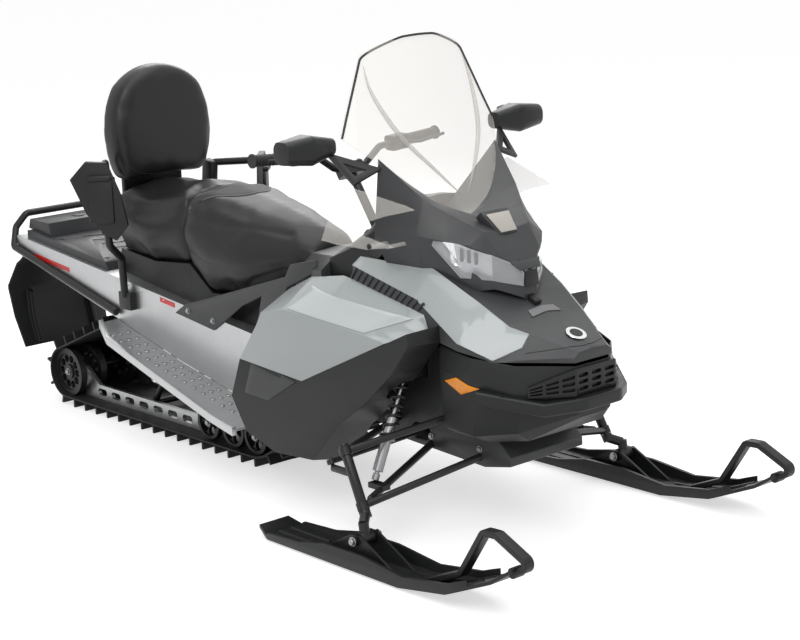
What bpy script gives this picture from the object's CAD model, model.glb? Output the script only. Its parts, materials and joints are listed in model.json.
"""Looks of the two-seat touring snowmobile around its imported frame. Metres, in the frame's own axes:
+X towards the nose, +Y the rider's left, +Z up."""

import json
from math import cos, exp, pi, radians, sin

import bpy
from mathutils import Matrix, Vector
from mathutils.kdtree import KDTree


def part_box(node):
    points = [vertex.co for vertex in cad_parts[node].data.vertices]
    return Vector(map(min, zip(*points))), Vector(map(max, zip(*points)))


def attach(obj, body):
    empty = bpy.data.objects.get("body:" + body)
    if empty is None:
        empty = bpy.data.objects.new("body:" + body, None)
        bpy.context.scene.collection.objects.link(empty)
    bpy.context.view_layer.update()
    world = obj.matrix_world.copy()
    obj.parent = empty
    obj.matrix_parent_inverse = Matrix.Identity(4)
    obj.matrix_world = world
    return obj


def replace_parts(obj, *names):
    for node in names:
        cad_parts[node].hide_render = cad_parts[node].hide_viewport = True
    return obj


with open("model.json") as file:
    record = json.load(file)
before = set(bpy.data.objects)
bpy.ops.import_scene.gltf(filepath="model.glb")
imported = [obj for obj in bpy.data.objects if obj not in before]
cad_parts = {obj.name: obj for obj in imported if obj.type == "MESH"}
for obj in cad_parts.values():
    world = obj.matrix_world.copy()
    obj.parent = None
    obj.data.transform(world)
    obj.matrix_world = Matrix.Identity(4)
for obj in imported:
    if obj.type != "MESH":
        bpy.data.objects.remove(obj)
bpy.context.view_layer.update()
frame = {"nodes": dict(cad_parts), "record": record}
nodes = frame["nodes"]
body_of = {node: body for body, members in frame["record"]["behaviour"]["bodies"].items() for node in members}
slot_of = {entry["node"]: entry["material_slot"] for entry in frame["record"]["subparts"]}

# ---- camera, lamps, surround and floor ------------------------------------------------------------
FRAME_WIDE = 800
FRAME_HIGH = 640
SENSOR = 36.0
FOCAL_PX = 1952.85
CENTRE_PX = (354.758, 324.851)
CAMERA_AT = Vector((4.9106, -3.8943, 1.9213))
CAMERA_TURN = radians(50.152)
CAMERA_RISE = radians(13.162)
CAMERA_ROLL = radians(-2.503)


def make_camera():
    """The camera, from its turn about the machine, its height and its roll."""
    back = Vector((sin(CAMERA_TURN) * cos(CAMERA_RISE), -cos(CAMERA_TURN) * cos(CAMERA_RISE), sin(CAMERA_RISE)))
    right = Vector((cos(CAMERA_TURN), sin(CAMERA_TURN), 0))
    up = back.cross(right)
    across = right * cos(CAMERA_ROLL) + up * sin(CAMERA_ROLL)
    upward = up * cos(CAMERA_ROLL) - right * sin(CAMERA_ROLL)
    bpy.ops.object.camera_add()
    camera = bpy.context.object
    camera.matrix_world = Matrix.Translation(CAMERA_AT) @ Matrix((across, upward, back)).transposed().to_4x4()
    camera.data.sensor_width = SENSOR
    camera.data.lens = FOCAL_PX / FRAME_WIDE * SENSOR
    camera.data.shift_x = (FRAME_WIDE / 2 - CENTRE_PX[0]) / FRAME_WIDE
    camera.data.shift_y = (CENTRE_PX[1] - FRAME_HIGH / 2) / FRAME_WIDE
    camera.data.clip_end = 200
    bpy.context.scene.camera = camera


LAMPS = (  # name, place, what it faces, size and power
    ("key", (3.2, -3.6, 4.6), (0, 0, 0.5), 3.2, 150),
    ("rim", (-3.4, 3.0, 3.6), (0, 0, 0.6), 3.0, 90),
    ("top", (0.2, 0.4, 5.0), (0, 0, 0.4), 4.2, 110),
)


def make_lamps():
    """Soft area lamps aimed at the machine."""
    for name, place, target, size, power in LAMPS:
        bpy.ops.object.light_add(type="AREA", location=place)
        lamp = bpy.context.object
        lamp.name = name
        lamp.data.size = size
        lamp.data.energy = power
        lamp.rotation_euler = (Vector(target) - Vector(place)).to_track_quat("-Z", "Y").to_euler()


def seen_share(tree):
    """1 for rays that see a backdrop straight or in glass and metal, 0 for rays that only carry its light."""
    path = tree.nodes.new("ShaderNodeLightPath")
    total = path.outputs["Is Camera Ray"]
    for ray in ("Is Glossy Ray", "Is Transmission Ray"):
        either = tree.nodes.new("ShaderNodeMath")
        either.operation = "MAXIMUM"
        tree.links.new(total, either.inputs[0])
        tree.links.new(path.outputs[ray], either.inputs[1])
        total = either.outputs[0]
    return total


def make_surround():
    """A white surround that is softer where it only gives light."""
    world = bpy.data.worlds.new("studio")
    bpy.context.scene.world = world
    world.use_nodes = True
    tree = world.node_tree
    level = tree.nodes.new("ShaderNodeMapRange")
    level.inputs["To Min"].default_value = 0.62
    level.inputs["To Max"].default_value = 1.0
    tree.links.new(seen_share(tree), level.inputs["Value"])
    tree.links.new(level.outputs["Result"], tree.nodes["Background"].inputs["Strength"])
    tree.nodes["Background"].inputs["Color"].default_value = (1, 1, 1, 1)


def make_floor():
    """A wide pale floor that keeps the machine's shadow."""
    bpy.ops.mesh.primitive_plane_add(size=120, location=(0, 0, -0.0005))
    floor = bpy.context.object
    floor.name = "floor"
    paint = bpy.data.materials.new("floor_paint")
    paint.use_nodes = True
    tree = paint.node_tree
    tree.nodes.clear()
    out = tree.nodes.new("ShaderNodeOutputMaterial")
    matt = tree.nodes.new("ShaderNodeBsdfDiffuse")
    matt.inputs["Color"].default_value = (0.62, 0.62, 0.62, 1)
    glow = tree.nodes.new("ShaderNodeEmission")
    share = tree.nodes.new("ShaderNodeMath")
    share.operation = "MULTIPLY"
    share.inputs[1].default_value = 0.60
    tree.links.new(seen_share(tree), share.inputs[0])
    tree.links.new(share.outputs[0], glow.inputs["Strength"])
    both = tree.nodes.new("ShaderNodeAddShader")
    tree.links.new(matt.outputs[0], both.inputs[0])
    tree.links.new(glow.outputs[0], both.inputs[1])
    tree.links.new(both.outputs[0], out.inputs["Surface"])
    floor.data.materials.append(paint)


bpy.ops.object.select_all(action="DESELECT")
make_camera()
make_lamps()
make_surround()
make_floor()
bpy.context.scene.view_settings.view_transform = "Standard"

# ---- finishes -------------------------------------------------------------------------------------


SPECULAR = 0.32


class Finish:
    """A material being built: its tree, its shader and its Object coordinates."""

    def __init__(self, name, colour, roughness, metallic=0.0):
        self.material = bpy.data.materials.new(name)
        self.material.use_nodes = True
        self.tree = self.material.node_tree
        self.shader = self.tree.nodes["Principled BSDF"]
        self.shader.inputs["Base Color"].default_value = (*colour, 1)
        self.shader.inputs["Roughness"].default_value = roughness
        self.shader.inputs["Metallic"].default_value = metallic
        self.shader.inputs["Specular IOR Level"].default_value = SPECULAR
        self.place = self.tree.nodes.new("ShaderNodeTexCoord").outputs["Object"]
        self.height = None

    def noise(self, scale, detail=3.0, rough=0.5):
        """A noise pattern fixed to the piece."""
        node = self.tree.nodes.new("ShaderNodeTexNoise")
        node.inputs["Scale"].default_value = scale
        node.inputs["Detail"].default_value = detail
        node.inputs["Roughness"].default_value = rough
        self.tree.links.new(self.place, node.inputs["Vector"])
        return node.outputs["Fac"]

    def cells(self, scale, feature="F1"):
        """A cell pattern fixed to the piece."""
        node = self.tree.nodes.new("ShaderNodeTexVoronoi")
        node.feature = feature
        node.inputs["Scale"].default_value = scale
        self.tree.links.new(self.place, node.inputs["Vector"])
        return node.outputs["Distance"]

    def spread(self, source, low, high, start=0.0, end=1.0):
        """A pattern moved from one range to another."""
        node = self.tree.nodes.new("ShaderNodeMapRange")
        node.inputs["From Min"].default_value = start
        node.inputs["From Max"].default_value = end
        node.inputs["To Min"].default_value = low
        node.inputs["To Max"].default_value = high
        self.tree.links.new(source, node.inputs["Value"])
        return node.outputs["Result"]

    def tint(self, source, dark, light):
        """The colour runs from dark to light with the pattern."""
        node = self.tree.nodes.new("ShaderNodeMix")
        node.data_type = "RGBA"
        node.inputs["A"].default_value = (*dark, 1)
        node.inputs["B"].default_value = (*light, 1)
        self.tree.links.new(source, node.inputs["Factor"])
        self.tree.links.new(node.outputs["Result"], self.shader.inputs["Base Color"])

    def shine(self, source, low, high):
        """The roughness runs from low to high with the pattern."""
        self.tree.links.new(self.spread(source, low, high), self.shader.inputs["Roughness"])

    def bump(self, source, strength, distance):
        """A relief laid over the relief that is there already."""
        node = self.tree.nodes.new("ShaderNodeBump")
        node.inputs["Strength"].default_value = strength
        node.inputs["Distance"].default_value = distance
        self.tree.links.new(source, node.inputs["Height"])
        if self.height:
            self.tree.links.new(self.height, node.inputs["Normal"])
        self.height = node.outputs["Normal"]
        self.tree.links.new(self.height, self.shader.inputs["Normal"])


def moulded(name, colour, roughness, grain=900.0, depth=0.25):
    """Moulded plastic with a fine leather grain and slow changes of tone and gloss."""
    finish = Finish(name, colour, roughness)
    slow = finish.noise(7.0, 4.0)
    finish.tint(slow, tuple(c * 0.86 for c in colour), tuple(min(c * 1.14, 1) for c in colour))
    finish.shine(finish.noise(23.0, 5.0), roughness - 0.06, roughness + 0.08)
    finish.bump(finish.cells(grain), depth, 0.0004)
    return finish.material


def painted(name, colour, roughness=0.28, coat=0.6):
    """Smooth coloured bodywork under a clear coat, with a faint ripple."""
    finish = Finish(name, colour, roughness)
    finish.shader.inputs["Coat Weight"].default_value = coat
    finish.shader.inputs["Coat Roughness"].default_value = 0.08
    finish.tint(finish.noise(4.0, 3.0), tuple(c * 0.96 for c in colour), tuple(min(c * 1.03, 1) for c in colour))
    finish.shine(finish.noise(60.0, 4.0), roughness - 0.03, roughness + 0.05)
    finish.bump(finish.noise(420.0, 2.0), 0.04, 0.0003)
    return finish.material


def metal(name, colour, roughness, grain=260.0, depth=0.12):
    """Bare or brushed metal with fine scratches."""
    finish = Finish(name, colour, roughness, 1.0)
    finish.tint(finish.noise(9.0, 5.0), tuple(c * 0.9 for c in colour), tuple(min(c * 1.06, 1) for c in colour))
    finish.shine(finish.noise(45.0, 6.0, 0.6), roughness - 0.08, roughness + 0.12)
    finish.bump(finish.noise(grain, 6.0, 0.7), depth, 0.0003)
    return finish.material


def powder(name, colour, roughness=0.42):
    """Steel under powder paint: a fine orange peel."""
    finish = Finish(name, colour, roughness)
    finish.tint(finish.noise(14.0, 4.0), tuple(c * 0.8 for c in colour), tuple(c * 1.25 for c in colour))
    finish.shine(finish.noise(30.0, 4.0), roughness - 0.08, roughness + 0.08)
    finish.bump(finish.noise(700.0, 2.0), 0.18, 0.0004)
    return finish.material


def vinyl(name, colour, roughness=0.42):
    """Seat cover: small pebbles, soft folds and a worn sheen on the crown."""
    finish = Finish(name, colour, roughness)
    finish.tint(finish.noise(6.0, 4.0), tuple(c * 0.85 for c in colour), tuple(c * 1.2 for c in colour))
    finish.shine(finish.noise(12.0, 5.0), roughness - 0.08, roughness + 0.1)
    finish.bump(finish.noise(20.0, 3.0), 0.15, 0.002)
    finish.bump(finish.cells(620.0), 0.35, 0.0005)
    return finish.material


def clear(name, colour, roughness=0.02, alpha=0.3):
    """Thin clear sheet: mostly see-through, with a gloss."""
    finish = Finish(name, colour, roughness)
    finish.shader.inputs["Alpha"].default_value = alpha
    finish.shader.inputs["IOR"].default_value = 1.46
    finish.bump(finish.noise(3.0, 2.0), 0.03, 0.002)
    return finish.material


def reflective(name, colour, grain):
    """A moulded lens or tape over a field of small prisms."""
    finish = Finish(name, colour, 0.25)
    finish.shader.inputs["Coat Weight"].default_value = 0.25
    finish.shader.inputs["Coat Roughness"].default_value = 0.04
    finish.tint(finish.cells(grain), tuple(min(c * 1.15, 1) for c in colour), tuple(c * 0.72 for c in colour))
    finish.bump(finish.cells(grain), 0.3, 0.0006)
    return finish.material


BLACK = (0.009, 0.0095, 0.010)
finishes = {
    "black_plastic": moulded("black_plastic", BLACK, 0.42),
    "dark_plastic": moulded("dark_plastic", (0.040, 0.041, 0.043), 0.38, 1200.0, 0.12),
    "silver_plastic": painted("silver_plastic", (0.31, 0.335, 0.335)),
    "black_steel": powder("black_steel", (0.014, 0.014, 0.015), 0.34),
    "bright_aluminium": metal("bright_aluminium", (0.50, 0.505, 0.51), 0.36),
    "grey_steel": metal("grey_steel", (0.42, 0.42, 0.43), 0.38),
    "track_rubber": moulded("track_rubber", (0.012, 0.012, 0.013), 0.6, 500.0, 0.4),
    "soft_grip": moulded("soft_grip", (0.016, 0.016, 0.017), 0.55, 700.0, 0.4),
    "black_vinyl": vinyl("black_vinyl", (0.012, 0.012, 0.013), 0.36),
    "clear_screen": clear("clear_screen", (0.80, 0.77, 0.72), 0.02, 0.22),
    "lamp_glass": clear("lamp_glass", (0.82, 0.84, 0.87), 0.02, 0.3),
    "screen_ridge": clear("screen_ridge", (0.55, 0.52, 0.48), 0.05, 0.42),
    "grip_vinyl": moulded("grip_vinyl", (0.03, 0.03, 0.032), 0.6, 300.0, 0.6),
    "amber_lens": reflective("amber_lens", (0.90, 0.29, 0.004), 420.0),
    "red_tape": reflective("red_tape", (0.62, 0.02, 0.015), 700.0),
    "bolt_steel": metal("bolt_steel", (0.30, 0.30, 0.31), 0.34),
    "mirror_glass": metal("mirror_glass", (0.82, 0.84, 0.85), 0.1, 30.0, 0.01),
    "chrome": metal("chrome", (0.88, 0.89, 0.90), 0.12, 90.0, 0.02),
    "screen_tab": moulded("screen_tab", (0.42, 0.395, 0.36), 0.3, 1500.0, 0.05),
    "dial_glass": painted("dial_glass", (0.01, 0.012, 0.014), 0.08, 1.0),
    "facet_silver": painted("facet_silver", (0.42, 0.45, 0.45)),
    "piping_grey": moulded("piping_grey", (0.11, 0.11, 0.112), 0.45, 700.0, 0.2),
    "lip_grey": moulded("lip_grey", (0.15, 0.152, 0.155), 0.38, 1200.0, 0.12),
    "engine_metal": metal("engine_metal", (0.16, 0.16, 0.16), 0.5),
}

for name, node in nodes.items():
    node.data.materials.clear()
    node.data.materials.append(finishes[slot_of[name]])

# ---- working a mesh -------------------------------------------------------------------------------


def take_up(piece):
    """Only this piece is selected and active."""
    bpy.ops.object.select_all(action="DESELECT")
    piece.select_set(True)
    bpy.context.view_layer.objects.active = piece


def put_down(piece, name, finish, body, angle=35.0):
    """Names a piece, gives it its finish and smooth shading, and lets it ride on its body."""
    take_up(piece)
    bpy.ops.object.transform_apply(location=True, rotation=True, scale=True)
    bpy.ops.object.shade_smooth_by_angle(angle=radians(angle))
    piece.name = name
    piece.data.materials.clear()
    piece.data.materials.append(finishes[finish])
    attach(piece, body)
    return piece


def apply_bevel(piece, width, segments=2, angle=28.0):
    """Rounds the edges that are sharper than the angle."""
    take_up(piece)
    bevel = piece.modifiers.new("round", "BEVEL")
    bevel.width = width
    bevel.segments = segments
    bevel.limit_method = "ANGLE"
    bevel.angle_limit = radians(angle)
    bevel.use_clamp_overlap = True
    bpy.ops.object.modifier_apply(modifier=bevel.name)


GRILLE_FOLD = (1.2883, 0.0794)      # x and y of the line where the grille's wings turn back
WING_SHARE = 0.64                   # how much of each wing's length is kept
WING_TAPER = 0.62                   # how much lower a wing is at its tip


def short_wings(at, low, high):
    """The grille's wings, ended where the pan ends and drawn down towards their tips."""
    fold_x, fold_y = GRILLE_FOLD
    out = abs(at.y) - fold_y
    if out < 0.001:
        return at
    side = 1 if at.y > 0 else -1
    closed = 1 - WING_TAPER * out / (high.y - fold_y)
    return Vector((fold_x + (at.x - fold_x) * WING_SHARE, side * (fold_y + out * WING_SHARE),
                   low.z + (at.z - low.z) * closed))


WELD = 0.00002              # points closer than this are one


def recast(node, width, segments=3, flat=1.0, angle=24.0):
    """A copy of a CAD node with its facets joined and its edges rounded, as moulded. It stands for the node."""
    piece = bpy.data.objects.new(node + "_shell", nodes[node].data.copy())
    bpy.context.scene.collection.objects.link(piece)
    take_up(piece)
    if node == "grille":
        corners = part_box(node)
        for vertex in piece.data.vertices:
            vertex.co = short_wings(vertex.co, *corners)
    bpy.ops.object.mode_set(mode="EDIT")
    bpy.ops.mesh.select_all(action="SELECT")
    bpy.ops.mesh.remove_doubles(threshold=WELD)
    bpy.ops.mesh.dissolve_limited(angle_limit=radians(flat))
    bpy.ops.object.mode_set(mode="OBJECT")
    apply_bevel(piece, width, segments, angle)
    put_down(piece, node + "_shell", slot_of[node], body_of[node])
    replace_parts(piece, node)
    return piece


# ---- moulded and formed pieces ----------------------------------------------------------------------
MOULDED = {  # node and the radius of its edges
    "hood": 0.007, "hood_strips": 0.0016, "side_panels": 0.007, "lower_panels": 0.008, "tank_cover": 0.012,
    "upper_fairing": 0.006, "console": 0.012, "belly_pan": 0.008, "front_bumper": 0.006, "mirrors": 0.008,
    "snow_flap": 0.003, "rack": 0.004, "rear_box": 0.008, "seat_base": 0.012, "side_trims": 0.003,
    "ski_right": 0.003, "ski_left": 0.003, "spindle_right": 0.003, "spindle_left": 0.003,
    "handholds": 0.005, "grille": 0.0012, "running_boards": 0.002, "subframe": 0.004, "backrest_frame": 0.006,
}
shells = {node: recast(node, width) for node, width in MOULDED.items()}


# ---- pieces made fresh ------------------------------------------------------------------------------


def as_plate(name, corners, thick, finish, body="chassis", bevel=0.0012):
    """A thin plate through corners in space, thickened to the side from which they run anticlockwise."""
    bpy.ops.object.select_all(action="DESELECT")
    bpy.ops.mesh.primitive_circle_add(vertices=len(corners), radius=0.1, fill_type="NGON")
    piece = bpy.context.object
    for vertex, corner in zip(piece.data.vertices, corners):
        vertex.co = corner
    wall = piece.modifiers.new("wall", "SOLIDIFY")
    wall.thickness = thick
    wall.offset = 1.0
    bpy.ops.object.modifier_apply(modifier=wall.name)
    if bevel:
        apply_bevel(piece, bevel, 2)
    return put_down(piece, name, finish, body)


def as_tube(name, points, radius, finish, body="chassis", closed=False, taper=(), sides=2):
    """A round bar along a smooth line; taper gives each point's share of the radius."""
    curve = bpy.data.curves.new(name, "CURVE")
    curve.dimensions = "3D"
    curve.bevel_depth = radius
    curve.bevel_resolution = sides
    curve.resolution_u = 6
    curve.use_fill_caps = True
    spline = curve.splines.new("NURBS")
    spline.points.add(len(points) - 1)
    for i, (at, point) in enumerate(zip(spline.points, points)):
        at.co = (*point, 1)
        at.radius = taper[i] if taper else 1.0
    spline.use_cyclic_u = closed
    spline.use_endpoint_u = not closed
    spline.order_u = 3
    piece = bpy.data.objects.new(name, curve)
    bpy.context.scene.collection.objects.link(piece)
    take_up(piece)
    bpy.ops.object.convert(target="MESH")
    return put_down(bpy.context.object, name, finish, body)


def joined(parts, name, finish, body="chassis", angle=35.0):
    """Many small pieces as one."""
    bpy.ops.object.select_all(action="DESELECT")
    for part in parts:
        part.select_set(True)
    bpy.context.view_layer.objects.active = parts[0]
    if len(parts) > 1:
        bpy.ops.object.join()
    return put_down(bpy.context.object, name, finish, body, angle)


def stud(at, axis, radius, length, sides=24, tip=None, bevel=0.0007, fill="NGON"):
    """A plain disc, bolt head or cone that stands on a place along an axis."""
    way = Vector(axis).normalized()
    bpy.ops.object.select_all(action="DESELECT")
    bpy.ops.mesh.primitive_cone_add(
        vertices=sides, radius1=radius, radius2=radius if tip is None else tip, depth=length, end_fill_type=fill,
        location=Vector(at) + way * length / 2, rotation=way.to_track_quat("Z", "Y").to_euler())
    piece = bpy.context.object
    if bevel:
        apply_bevel(piece, bevel, 1)
    return piece


def bolts(name, places, axis, radius, finish="bolt_steel", body="chassis"):
    """A row of hexagon heads on their washers."""
    parts = []
    for at in places:
        way = Vector(axis if not callable(axis) else axis(at)).normalized()
        parts.append(stud(at, way, radius * 1.45, radius * 0.25))
        parts.append(stud(Vector(at) + way * radius * 0.25, way, radius, radius * 0.7, 6))
    return joined(parts, name, finish, body)


def block(at, size, turn=(0, 0, 0), bevel=0.002):
    """A plain block, its size along each axis, turned by angles in degrees."""
    bpy.ops.object.select_all(action="DESELECT")
    bpy.ops.mesh.primitive_cube_add(size=1, location=at, rotation=[radians(angle) for angle in turn])
    piece = bpy.context.object
    piece.scale = size
    bpy.ops.object.transform_apply(location=False, rotation=False, scale=True)
    if bevel:
        apply_bevel(piece, bevel, 2)
    return piece


def surface_x(piece, y, z, lift=0.0):
    """The foremost point of a piece at a width and height."""
    hit, at, normal, _ = piece.ray_cast(Vector((3.0, y, z)), Vector((-1, 0, 0)))
    return at + normal * lift if hit else Vector((0, y, z))


def surface_z(piece, x, y, lift=0.0):
    """The highest point of a piece at a place in plan."""
    hit, at, normal, _ = piece.ray_cast(Vector((x, y, 3.0)), Vector((0, 0, -1)))
    return at + normal * lift if hit else Vector((x, y, 0))


def surface_y(piece, x, z, side, lift=0.0):
    """The outermost point of a piece on one side."""
    hit, at, normal, _ = piece.ray_cast(Vector((x, side * 3.0, z)), Vector((0, -side, 0)))
    return at + normal * lift if hit else Vector((x, 0, z))


SIDES = (("right", -1), ("left", 1))


def conform(name, corners, cast, thick, finish, body="chassis", bevel=0.001, cells=7):
    """A raised patch that follows a surface; its four flat corners run anticlockwise, and cast places them."""
    bpy.ops.object.select_all(action="DESELECT")
    bpy.ops.mesh.primitive_grid_add(x_subdivisions=cells, y_subdivisions=cells, size=1)
    piece = bpy.context.object
    a, b, c, d = (Vector(corner) for corner in corners)
    for vertex in piece.data.vertices:
        across, up = vertex.co.x + 0.5, vertex.co.y + 0.5
        vertex.co = cast(*a.lerp(b, across).lerp(d.lerp(c, across), up))
    wall = piece.modifiers.new("wall", "SOLIDIFY")
    wall.thickness = thick
    wall.offset = 1.0
    bpy.ops.object.modifier_apply(modifier=wall.name)
    apply_bevel(piece, bevel, 2, 40.0)
    return put_down(piece, name, finish, body)

# ---- seats and backrest: foam under vinyl -----------------------------------------------------------
FOAM_VOXEL = 0.008
CLOTH_FRAMES = 20
PRESSURE = 4.0
CALMING = 24                # passes that take the small creases out of the blown cover


def as_cushion(node, relax, swell):
    """A cushion from its plain solid: remeshed, relaxed, then blown up as cloth, each point's travel capped."""
    piece = bpy.data.objects.new(node + "_cover", nodes[node].data.copy())
    bpy.context.scene.collection.objects.link(piece)
    take_up(piece)
    bpy.ops.object.mode_set(mode="EDIT")
    bpy.ops.mesh.select_all(action="SELECT")
    bpy.ops.mesh.remove_doubles(threshold=WELD)
    bpy.ops.object.mode_set(mode="OBJECT")
    remesh = piece.modifiers.new("remesh", "REMESH")
    remesh.mode = "VOXEL"
    remesh.voxel_size = FOAM_VOXEL
    bpy.ops.object.modifier_apply(modifier=remesh.name)
    smooth = piece.modifiers.new("relax", "SMOOTH")
    smooth.factor = 0.5
    smooth.iterations = relax
    bpy.ops.object.modifier_apply(modifier=smooth.name)
    rest = [vertex.co.copy() for vertex in piece.data.vertices]
    cloth = piece.modifiers.new("air", "CLOTH")
    cloth.settings.use_pressure = True
    cloth.settings.uniform_pressure_force = PRESSURE
    cloth.settings.effector_weights.gravity = 0
    for step in range(1, CLOTH_FRAMES + 1):
        bpy.context.scene.frame_set(step)
    take_up(piece)
    bpy.ops.object.modifier_apply(modifier=cloth.name)
    for vertex, start in zip(piece.data.vertices, rest):
        travel = vertex.co - start
        if travel.length > swell:
            vertex.co = start + travel.normalized() * swell
    take_up(piece)
    calm = piece.modifiers.new("calm", "SMOOTH")
    calm.factor = 0.5
    calm.iterations = CALMING
    bpy.ops.object.modifier_apply(modifier=calm.name)
    return piece


def sew(piece, line, depth, width):
    """Pulls the cover in along a seam, a row of points in space."""
    seam = KDTree(len(line))
    for i, point in enumerate(line):
        seam.insert(point, i)
    seam.balance()
    for vertex in piece.data.vertices:
        near = seam.find(vertex.co)[2]
        if near < 3 * width:
            vertex.co -= vertex.normal * depth * exp(-((near / width) ** 2))


def finish_cushion(piece, node):
    """One subdivision, the vinyl, and its place on the machine."""
    take_up(piece)
    finer = piece.modifiers.new("finer", "SUBSURF")
    finer.levels = 1
    finer.render_levels = 1
    bpy.ops.object.modifier_apply(modifier=finer.name)
    put_down(piece, node + "_cover", "black_vinyl", body_of[node], angle=60.0)
    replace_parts(piece, node)


def along(points, step=0.006):
    """Points spaced evenly between corners."""
    made = []
    for start, end in zip(points, points[1:]):
        count = max(int((end - start).length / step), 1)
        made += [start.lerp(end, i / count) for i in range(count)]
    return made + [points[-1]]


MOON_REAR = -0.405          # the textured half moon behind the rider: its straight edge, tip and depth
MOON_TIP = 0.165
MOON_DEEP = 0.168
MOON_STEPS = 14
SEAT_SWELL = 0.012          # how far air may move a cover
CREASE = ((-0.400, 0.178, 0.812), (-0.195, 0.176, 0.806), (-0.05, 0.142, 0.803), (0.06, 0.10, 0.790))
SKIRT = ((-0.40, 0.19, 0.70), (-0.28, 0.205, 0.665), (-0.09, 0.19, 0.66), (0.10, 0.13, 0.705))
REAR_EDGE = ((-0.83, 0.168, 0.815), (-0.64, 0.180, 0.806), (-0.44, 0.178, 0.822))     # the passenger seat's


def moon_front(y):
    """Front edge of the half moon across the seat."""
    return MOON_REAR + 0.012 + MOON_DEEP * (1 - (abs(y) / MOON_TIP) ** 2.0)


def make_seats():
    """Both seat covers with their seams, piping and the half moon panel."""
    rider = as_cushion("rider_seat", 14, SEAT_SWELL)
    passenger = as_cushion("passenger_seat", 12, SEAT_SWELL)
    widths = [MOON_TIP * (2 * i / MOON_STEPS - 1) for i in range(MOON_STEPS + 1)]
    front = [surface_z(rider, moon_front(y), y) for y in widths]
    for side in (-1, 1):
        for cover, line, depth, width in ((rider, CREASE, 0.005, 0.014), (rider, SKIRT, 0.003, 0.013),
                                          (passenger, REAR_EDGE, 0.004, 0.014)):
            sew(cover, along([Vector((x, side * y, z)) for x, y, z in line]), depth, width)
    sew(rider, along(front), 0.002, 0.010)
    finish_cushion(rider, "rider_seat")
    finish_cushion(passenger, "passenger_seat")
    rider.data.materials.append(finishes["grip_vinyl"])
    for face in rider.data.polygons:
        at = face.center
        if face.normal.z > 0.25 and abs(at.y) < MOON_TIP and MOON_REAR + 0.008 < at.x < moon_front(at.y):
            face.material_index = 1
    piping = [surface_z(rider, moon_front(y), y, 0.001) for y in widths]
    as_tube("moon_piping_front", piping, 0.0026, "piping_grey")
    rear = [surface_z(rider, MOON_REAR + 0.010, y, 0.001) for y in widths]
    as_tube("moon_piping_rear", rear, 0.0022, "piping_grey")


BACK_EDGE = 0.017           # the backrest's piping lies this far in from its outline
BACK_DROP = 0.020           # the foot of the cover hangs this much lower than its board
BACK_SWELL = 0.010
BACK_ROUND = 0.62           # how round the piping's corners are: 1 is an ellipse, 0 a rectangle
BACK_STEPS = 48


def make_backrest():
    """The backrest's cover and the piping round its front."""
    cover = as_cushion("backrest", 10, BACK_SWELL)
    low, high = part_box("backrest")
    middle = (low + high) / 2
    half_wide = (high.y - low.y) / 2 - BACK_EDGE
    half_high = (high.z - low.z) / 2 - BACK_EDGE
    for vertex in cover.data.vertices:
        vertex.co.z -= BACK_DROP * max(middle.z - vertex.co.z, 0) / (middle.z - low.z)
    ring = []
    for i in range(BACK_STEPS):
        turn = 2 * pi * i / BACK_STEPS
        y = half_wide * abs(cos(turn)) ** BACK_ROUND * (1 if cos(turn) > 0 else -1)
        reach = half_high if sin(turn) > 0 else -half_high - BACK_DROP
        z = middle.z + reach * abs(sin(turn)) ** BACK_ROUND
        hit, at, _, _ = cover.ray_cast(Vector((2.0, y, z)), Vector((-1, 0, 0)))
        if hit:
            ring.append(at)
    finish_cushion(cover, "backrest")
    as_tube("backrest_piping", ring, 0.0020, "black_vinyl", closed=True)


make_seats()
make_backrest()

# ---- windshield: dark edge trim and the two moulded ridges ------------------------------------------
SCREEN = nodes["windshield"]
SCREEN_CORNER = (0.305, 1.163)      # width and height of the lower corner, and then of the upper
SCREEN_TOP_CORNER = (0.197, 1.392)
SCREEN_TOP = 1.439
TRIM_R = 0.0036
RIDGE_NEAR = ((0.197, 1.359), (0.201, 1.320), (0.198, 1.277), (0.184, 1.225), (0.166, 1.175), (0.138, 1.125),
              (0.092, 1.069), (0.043, 1.009), (0.012, 0.975))


def make_screen_trim():
    """The dark trim along the sides and top, and a tapering ridge down each half."""
    half = []
    for i in range(9):
        share = i / 8
        half.append((SCREEN_CORNER[0] + (SCREEN_TOP_CORNER[0] - SCREEN_CORNER[0]) * share,
                     SCREEN_CORNER[1] + (SCREEN_TOP_CORNER[1] - SCREEN_CORNER[1]) * share))
    top = [(SCREEN_TOP_CORNER[0] * cos(pi * i / 16), SCREEN_TOP_CORNER[1]
            + (SCREEN_TOP - SCREEN_TOP_CORNER[1]) * sin(pi * i / 16)) for i in range(1, 16)]
    outline = half + [(y, z) for y, z in top] + [(-y, z) for y, z in reversed(half)]
    line = [surface_x(SCREEN, y * 0.992, z - 0.003) for y, z in outline]
    as_tube("windshield_trim", [at for at in line if at.x > 0.1], TRIM_R, "black_plastic")
    for name, side in SIDES:
        ridge = [surface_x(SCREEN, side * y, z, 0.0005) for y, z in RIDGE_NEAR]
        spread = [sin(pi * (i + 0.35) / (len(ridge) - 0.3)) for i in range(len(ridge))]
        as_tube(name + "_screen_ridge", ridge, 0.0075, "screen_ridge", taper=spread)


make_screen_trim()

# ---- red tapes of the tunnel ---------------------------------------------------------------------------
RED_PATCHES = (((-1.3383, 0.5761), 0.235, 0.016), ((-0.5305, 0.5208), 0.085, 0.016))     # corner, length, height
TUNNEL_SIDE = 0.2153
TUNNEL_SLOPE = -0.112


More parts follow.
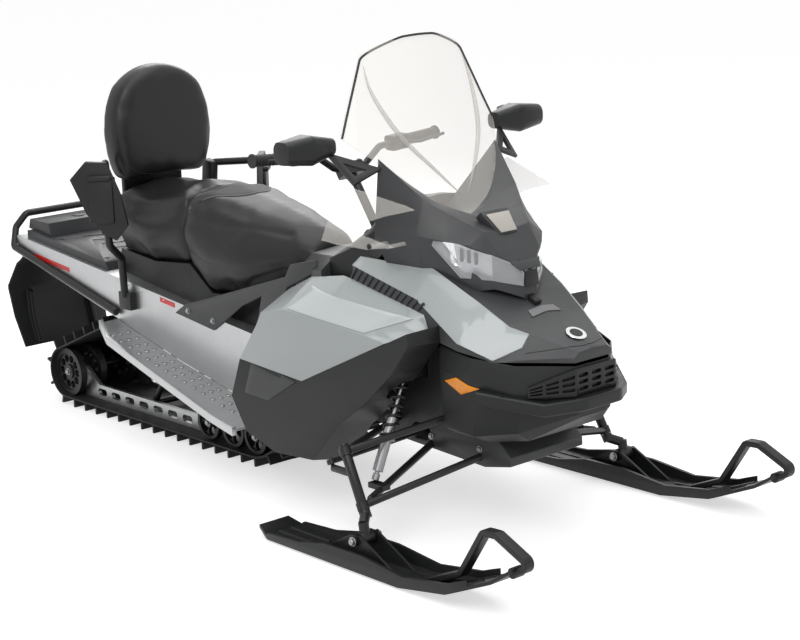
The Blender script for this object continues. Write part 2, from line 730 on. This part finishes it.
def make_reflectors():
    """Red tapes along the tunnel."""
    for name, side in SIDES:
        for count, ((x, z), length, high) in enumerate(RED_PATCHES):
            y = side * TUNNEL_SIDE
            fall = TUNNEL_SLOPE * length
            corners = [Vector((x, y, z)), Vector((x, y, z - high)), Vector((x + length, y, z - high + fall)),
                       Vector((x + length, y, z + fall))]
            if side > 0:
                corners.reverse()
            as_plate(f"{name}_red_tape_{count}", corners, 0.0008, "red_tape", bevel=0)


make_reflectors()

# ---- headlights: bezel, chrome beds, bowls and bulbs --------------------------------------------------
LAMP_TOP = ((0.850, 0.204, 0.876), (0.918, 0.182, 0.868), (0.988, 0.102, 0.831), (1.040, 0.022, 0.782))
LAMP_LOW = ((0.850, 0.206, 0.862), (0.918, 0.162, 0.769), (0.988, 0.100, 0.759), (1.040, 0.030, 0.739))
LAMP_FACING = Vector((0.75, 0.66, 0.0))
BED_DEEP = 0.026
BEDS = ("chrome", "grey_steel", "engine_metal")     # the reflector's finish from the rear to the nose
FINS = (0.16, 0.36, 0.56)                           # dark fins in the middle bed
BROW_LOW = 0.80
BEZEL_R = 0.0026
BOWLS = (  # centre, mouth radius, throat radius
    ((0.905, 0.150, 0.825), 0.028, 0.009),
    ((0.950, 0.106, 0.806), 0.024, 0.008),
)


def hugging(at, side):
    """The same place, no further out than the bodywork beside it."""
    pieces = [shells["upper_fairing"]] if at.z > BROW_LOW else [shells["upper_fairing"], nodes["headlights"]]
    reach = max(abs(surface_y(piece, at.x, at.z, side).y) for piece in pieces)
    return Vector((at.x, side * min(abs(at.y), reach + BEZEL_R), at.z)) if reach > 0.01 else at


def make_headlights():
    """What is seen through each lamp's glass, and the dark bezel round it."""
    for name, side in SIDES:
        def placed(point, deep=0.0):
            at = Vector(point) - LAMP_FACING * deep
            return Vector((at.x, side * at.y, at.z))

        rim = [placed(point, 0.001) for point in LAMP_TOP + tuple(reversed(LAMP_LOW))]
        edge = [hugging(at, side) for at in along(rim + rim[:1], 0.02)]
        as_tube(name + "_lamp_bezel", edge, BEZEL_R, "black_plastic", closed=True)
        for i in range(len(LAMP_TOP) - 1):
            corners = [placed(LAMP_TOP[i], BED_DEEP), placed(LAMP_LOW[i], BED_DEEP),
                       placed(LAMP_LOW[i + 1], BED_DEEP), placed(LAMP_TOP[i + 1], BED_DEEP)]
            if side > 0:
                corners.reverse()
            as_plate(f"{name}_lamp_bed_{i}", corners, 0.001, BEDS[i], bevel=0)
        facing = Vector((LAMP_FACING.x, side * LAMP_FACING.y, 0.05))
        cups = []
        for centre, mouth, throat in BOWLS:
            at = placed(centre, 0.0)
            cup = stud(at - facing * 0.024, facing, throat, 0.022, 32, tip=mouth, bevel=0, fill="NOTHING")
            take_up(cup)
            wall = cup.modifiers.new("wall", "SOLIDIFY")
            wall.thickness = 0.0012
            bpy.ops.object.modifier_apply(modifier=wall.name)
            cups.append(cup)
            cups.append(stud(at - facing * 0.022, facing, 0.006, 0.014, 16, tip=0.004))
        joined(cups, name + "_lamp_bowls", "chrome")
        fins = []
        for share in FINS:
            top = Vector(LAMP_TOP[1]).lerp(Vector(LAMP_TOP[2]), share)
            low = Vector(LAMP_LOW[1]).lerp(Vector(LAMP_LOW[2]), share)
            middle = placed(top.lerp(low, 0.30), 0.014)
            fins.append(block(middle, (0.014, 0.010, (top - low).length * 0.36), (0, 20, side * 41.0), 0.0008))
        joined(fins, name + "_lamp_fins", "black_plastic")


make_headlights()

# ---- bodywork: facets, louvres, badge plate, seams ------------------------------------------------------
FACET = ((0.412, 0.701), (0.846, 0.660), (0.733, 0.617), (0.402, 0.645))      # x and height on the side panels
DARK_CORNER = ((0.233, 0.466), (0.430, 0.424), (0.300, 0.345), (0.190, 0.352))
AMBER = ((0.9389, 0.4895), (0.9908, 0.5077), (1.0737, 0.4863), (1.0116, 0.461))
PATCHES = (  # name, the node whose shell it lies on, corners, thickness and finish
    ("panel_facet", "side_panels", FACET, 0.0024, "facet_silver"),
    ("panel_corner", "lower_panels", DARK_CORNER, 0.0022, "dark_plastic"),
    ("amber_reflector", "belly_pan", AMBER, 0.005, "amber_lens"),
)
LOUVRES = 13
LOUVRE_X = (0.560, 0.850)
DUCT_LOW = ((0.518, 0.741), (0.868, 0.672))       # top edge of the side panel
DUCT_HIGH = ((0.560, 0.775), (0.837, 0.712))      # lower edge of the bright strip
BADGE = (1.212, 0.031)                            # its x and its radius
HOOD_SEAM = ((1.162, -0.152), (1.202, -0.115), (1.242, -0.076), (1.260, -0.020), (1.260, 0.020), (1.242, 0.076),
             (1.202, 0.115), (1.162, 0.152))
HOOD_LIP = ((1.074, -0.050), (1.100, -0.058), (1.100, 0.058), (1.074, 0.050))


def on_line(line, x):
    """Height of a straight line at x."""
    (x0, z0), (x1, z1) = line
    return z0 + (z1 - z0) * (x - x0) / (x1 - x0)


def make_bodywork():
    """Facets, louvres and seams of the bodywork."""
    hood = shells["hood"]
    for name, side in SIDES:
        for part, node, corners, thick, finish in PATCHES:
            shell = shells[node]
            flat = corners if side > 0 else corners[::-1]
            conform(f"{name}_{part}", flat, lambda x, z: surface_y(shell, x, z, side, 0.0002), thick, finish)
        blades = []
        for i in range(LOUVRES):
            x = LOUVRE_X[0] + (LOUVRE_X[1] - LOUVRE_X[0]) * i / (LOUVRES - 1)
            low = on_line(DUCT_LOW, x) + 0.006
            high = on_line(DUCT_HIGH, x) - 0.004
            line = [Vector((x - 0.006, side * 0.2625, low)), Vector((x + 0.004, side * 0.2665, (low + high) / 2)),
                    Vector((x + 0.020, side * 0.2625, high))]
            blades.append(as_tube(f"{name}_louvre_{i}", line, 0.0042, "dark_plastic"))
        joined(blades, name + "_duct_louvres", "dark_plastic")
    seam = along([Vector((x, y, 0)) for x, y in HOOD_SEAM])
    as_tube("hood_seam", [surface_z(hood, at.x, at.y, 0.0003) for at in seam], 0.0011, "black_plastic")
    conform("hood_lip", HOOD_LIP, lambda x, y: surface_z(hood, x, y, 0.0002), 0.003, "lip_grey")
    x, radius = BADGE
    at = surface_z(hood, x, 0.0)
    up = (surface_z(hood, x, 0.03, 1.0) + surface_z(hood, x, -0.03, 1.0) - at * 2).normalized()
    parts = [stud(at, up, radius, 0.004, 48, bevel=0.0012)]
    joined(parts, "badge_plate", "chrome")
    joined([stud(at + up * 0.004, up, radius * 0.62, 0.0012, 48, bevel=0.0004)], "badge_middle", "black_plastic")


NOSE_CAP = ((1.041, 0.022, 0.784), (1.041, -0.022, 0.784), (1.042, -0.029, 0.736), (1.042, 0.029, 0.736))
GUARD_MIDDLE = Vector((-0.645, 0.350, 0.830))
GUARD_LIFT = {-1: 0.028, 1: -0.028}
NOSE_BROW = ((1.016, 0.058, 0.808), (1.016, -0.058, 0.808), (1.038, -0.040, 0.785), (1.038, 0.040, 0.785))
TONGUE = ((0.907, 0.045, 0.932), (0.907, -0.045, 0.932), (0.954, -0.031, 0.883), (0.954, 0.031, 0.883))
TONGUE_PAD = ((0.896, 0.056, 0.943), (0.896, -0.056, 0.943), (0.957, -0.037, 0.880), (0.957, 0.037, 0.880))
TONGUE_WAY = Vector((0.722, 0.0, 0.692))
PAD_DEEP = 0.030
HANDHOLD_FOOT = (-0.803, 0.222, 0.866)
DEFLECTOR_PIN = (0.700, 0.858)
NOSE_LATCH = (1.050, 0, 0.694)


def make_fittings():
    """The cap and brow between the lamps, the screen's tongue, pads of the handholds and the deflectors' pins."""
    as_plate("nose_cap", [Vector(corner) for corner in NOSE_CAP], 0.003, "black_plastic")
    as_plate("nose_brow", [Vector(corner) for corner in NOSE_BROW], 0.003, "dark_plastic")
    as_plate("tongue_pad", [Vector(corner) - TONGUE_WAY * PAD_DEEP for corner in TONGUE_PAD], PAD_DEEP, "dark_plastic",
             bevel=0.004)
    as_plate("screen_tongue", [Vector(corner) + TONGUE_WAY * 0.001 for corner in TONGUE], 0.004, "screen_tab",
             bevel=0.0015)
    joined([block(NOSE_LATCH, (0.036, 0.026, 0.022), (0, 25, 0))], "nose_latch", "black_plastic")
    pins = []
    for name, side in SIDES:
        facing = Vector((1, side, 0)).normalized()
        middle = Vector((GUARD_MIDDLE.x, side * GUARD_MIDDLE.y, GUARD_MIDDLE.z + GUARD_LIFT[side])) + facing * 0.003
        pad = block(middle, (0.014, 0.085, 0.150), (0, 0, side * 45.0), 0.005)
        ledge = block(middle + Vector((0, 0, 0.082)), (0.034, 0.080, 0.020), (0, 0, side * 45.0), 0.006)
        x, y, z = HANDHOLD_FOOT
        foot = block((x, side * y, z), (0.056, 0.036, 0.104), (0, 8, 0), 0.008)
        joined([pad, ledge, foot], name + "_guard_pad", "black_plastic")
        x, z = DEFLECTOR_PIN
        at = surface_y(nodes["side_deflectors"], x, z, side)
        pins.append(stud(at, (0.22, side, 0), 0.0085, 0.004, 16, tip=0.006))
    joined(pins, "push_pins", "black_plastic")


make_bodywork()
make_fittings()

# ---- dampers with their coil springs ----------------------------------------------------------------------
DAMPERS = (  # upper end, lower end, radius of the coil's middle line, inset of both ends
    ((0.020, 0.0, 0.290), (-0.150, 0.0, 0.072), 0.020, 0.0123),
    ((-0.620, 0.0, 0.322), (-0.430, 0.0, 0.068), 0.020, 0.0123),
    ((0.775, -0.235, 0.5355), (0.790, -0.405, 0.195), 0.0205, 0.0),
    ((0.775, 0.235, 0.5355), (0.790, 0.405, 0.195), 0.0205, 0.0),
)
COIL_WIRE = 0.0042
COIL_TURNS = 8
COIL_START = 0.065          # where the spring begins along its damper, and how far it runs, as shares of the length
COIL_SPAN = 0.59
SEATS = (0.03, 0.66)        # the spring's two seats


def make_dampers():
    """Dampers whose springs are real helices. They stand for the plain rings."""
    tubes = []
    coils = []
    for count, (top, foot, coil, inset) in enumerate(DAMPERS):
        top, foot = Vector(top), Vector(foot)
        way = (foot - top).normalized()
        start = top + way * inset
        length = (foot - top).length - 2 * inset
        tubes.append(stud(start, way, 0.007, length, 24))
        tubes.append(stud(start + way * length * 0.50, way, 0.0155, length * 0.43, 32, bevel=0.001))
        for share in SEATS:
            tubes.append(stud(start + way * length * share, way, coil + 0.004, 0.007, 32, bevel=0.001))
        tubes.append(stud(start + way * (length - 0.02), way, 0.011, 0.02, 24, bevel=0.001))
        side = way.orthogonal().normalized()
        other = way.cross(side)
        line = []
        steps = COIL_TURNS * 12
        for i in range(steps + 1):
            turn = 2 * pi * i / 12
            around = side * cos(turn) + other * sin(turn)
            line.append(start + way * length * (COIL_START + COIL_SPAN * i / steps) + around * coil)
        coils.append(as_tube(f"coil_{count}", line, COIL_WIRE, "black_steel"))
    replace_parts(joined(tubes, "damper_bodies", "bolt_steel"), "shocks")
    joined(coils, "damper_coils", "black_steel")


make_dampers()

# ---- cockpit: dials, switches, bar clamp, grip rings, mirror glass ------------------------------------------
DIALS = ((0.500, 0.052, 0.034), (0.500, -0.052, 0.034), (0.455, 0.0, 0.017))      # x, y and radius
SWITCHES = ((0.452, 0.085), (0.452, -0.085), (0.468, 0.120), (0.468, -0.120))
GRIP_OUTER = Vector((0.245, 0.372, 1.075))
GRIP_INNER = Vector((0.250, 0.130, 1.060))
GRIP_RINGS = 9
GRIP_RING_STEP = 0.013
MIRROR_GLASS = ((0.5222, 0.385, 1.106), (0.5192, 0.415, 1.099), (0.5245, 0.500, 1.112), (0.5245, 0.500, 1.168),
                (0.5192, 0.415, 1.181), (0.5222, 0.385, 1.174))
CLAMP_BOLTS = ((0.018, 0.032), (0.018, -0.032), (-0.018, 0.032), (-0.018, -0.032))
COLUMN_TOP = Vector((0.258, 0.0, 1.0))
COLUMN_WAY = Vector((-0.2, 0.0, 0.3)).normalized()


def make_cockpit():
    """Dials and switches on the console, bolts of the bar clamp, and rings round the grips."""
    console = shells["console"]
    rims = []
    glasses = []
    for x, y, radius in DIALS:
        at = surface_z(console, x, y)
        up = (surface_z(console, x, y, 1.0) - at).normalized()
        rims.append(stud(at - up * 0.004, up, radius + 0.006, 0.010, 48, bevel=0.002))
        glasses.append(stud(at + up * 0.0055, up, radius, 0.0012, 48, bevel=0.0004))
    joined(rims, "dial_rims", "dark_plastic")
    joined(glasses, "dial_glasses", "dial_glass")
    keys = []
    for x, y in SWITCHES:
        at = surface_z(console, x, y)
        keys.append(block(at, (0.022, 0.014, 0.012), (0, -40, 0)))
    joined(keys, "console_switches", "black_plastic")
    across = Vector((0, 1, 0))
    ahead = across.cross(COLUMN_WAY)
    places = [COLUMN_TOP + COLUMN_WAY * 0.022 + ahead * a + across * b for a, b in CLAMP_BOLTS]
    bolts("clamp_bolts", places, COLUMN_WAY, 0.0055, body=body_of["handlebar"])
    for name, side in SIDES:
        outer = Vector((GRIP_OUTER.x, side * GRIP_OUTER.y, GRIP_OUTER.z))
        inner = Vector((GRIP_INNER.x, side * GRIP_INNER.y, GRIP_INNER.z))
        way = (inner - outer).normalized()
        rings = [stud(outer + way * (0.008 + GRIP_RING_STEP * i), way, 0.0184, 0.006, 32, bevel=0.0012)
                 for i in range(GRIP_RINGS)]
        joined(rings, name + "_grip_rings", "soft_grip", body_of["controls"])
        corners = [Vector((x, side * y, z)) for x, y, z in MIRROR_GLASS]
        if side < 0:
            corners.reverse()
        as_plate(name + "_mirror_glass", corners, 0.0012, "mirror_glass", bevel=0.0003)


make_cockpit()

# ---- running boards, tunnel and track --------------------------------------------------------------------
CLEATS_X = [-0.70 + 0.052 * i for i in range(15)]
CLEAT_ROWS = (0.243, 0.275, 0.307)
RIVETS = 25
RIVET_START = (-1.42, 0.61504)                     # x and height of the rearmost
RIVET_STEP = 0.07
WHEEL_HUBS = ((-1.237, 0.128), (-0.355, 0.0983), (-0.216, 0.0983), (-0.092, 0.0983))
TRIM_BOLTS = ((-0.360, 0.4975), (-0.220, 0.484))


def make_tunnel_details():
    """Traction cleats on the boards, rivets along the tunnel, bolts of the trims, bumper and wheels."""
    boards = shells["running_boards"]
    cleats = []
    for name, side in SIDES:
        for x in CLEATS_X:
            for y in CLEAT_ROWS:
                at = surface_z(boards, x, side * y)
                if at.z > 0.1:
                    bpy.ops.object.select_all(action="DESELECT")
                    bpy.ops.mesh.primitive_torus_add(
                        major_segments=14, minor_segments=5, major_radius=0.0085, minor_radius=0.0016,
                        location=at, rotation=(0, radians(6.0 if x > -0.4 else 9.0), 0))
                    cleats.append(bpy.context.object)
    joined(cleats, "board_cleats", "bolt_steel")
    rivets = []
    for name, side in SIDES:
        for i in range(RIVETS):
            x = RIVET_START[0] + RIVET_STEP * i
            z = RIVET_START[1] + TUNNEL_SLOPE * RIVET_STEP * i
            rivets.append(stud((x, side * 0.2148, z), (0, side, 0), 0.0042, 0.0018, 10, tip=0.0026, bevel=0))
        bolts(name + "_trim_bolts", [(x, side * 0.2213, z) for x, z in TRIM_BOLTS], (0, side, 0), 0.0075)
        bolts(name + "_wheel_bolts", [(x, side * 0.171, z) for x, z in WHEEL_HUBS], (0, side, 0), 0.009)
    joined(rivets, "tunnel_rivets", "bright_aluminium")


make_tunnel_details()

# ---- skis, spindles and arms -------------------------------------------------------------------------------
SKI_MIDDLE = 0.540
SKI_RIBS = ((0.53, 0.71), (1.09, 1.40))
RIB_STEPS = 9
SADDLE = (0.897, 0.080)
ARM_BOLTS = ((0.898, 0.364), (0.610, 0.294), (0.965, 0.242), (0.757, 0.240))


def make_ski_details():
    """Ribs along the skis, nuts of the ski bolts and the pivot bolts of the arms."""
    for name, side in SIDES:
        ski = shells["ski_" + name]
        ribs = []
        for low, high in SKI_RIBS:
            for y in (-0.022, 0.022):
                line = [surface_z(ski, low + (high - low) * i / RIB_STEPS, side * SKI_MIDDLE + y)
                        for i in range(RIB_STEPS + 1)]
                ribs.append(as_tube(name + "_rib", line, 0.0045, slot_of["ski_" + name], body_of["ski_" + name]))
        joined(ribs, name + "_ski_ribs", slot_of["ski_" + name], body_of["ski_" + name])
        for edge in (-1, 1):
            at = (SADDLE[0], side * SKI_MIDDLE + edge * 0.046, SADDLE[1])
            bolts(f"{name}_ski_nut_{'outer' if edge == side else 'inner'}", [at], (0, edge, 0), 0.010,
                  body=body_of["spindle_" + name])
        places = [(x, side * 0.1505, z + 0.024) for x, z in ARM_BOLTS]
        bolts(name + "_arm_bolts", places, (0, side, 0), 0.007)


make_ski_details()
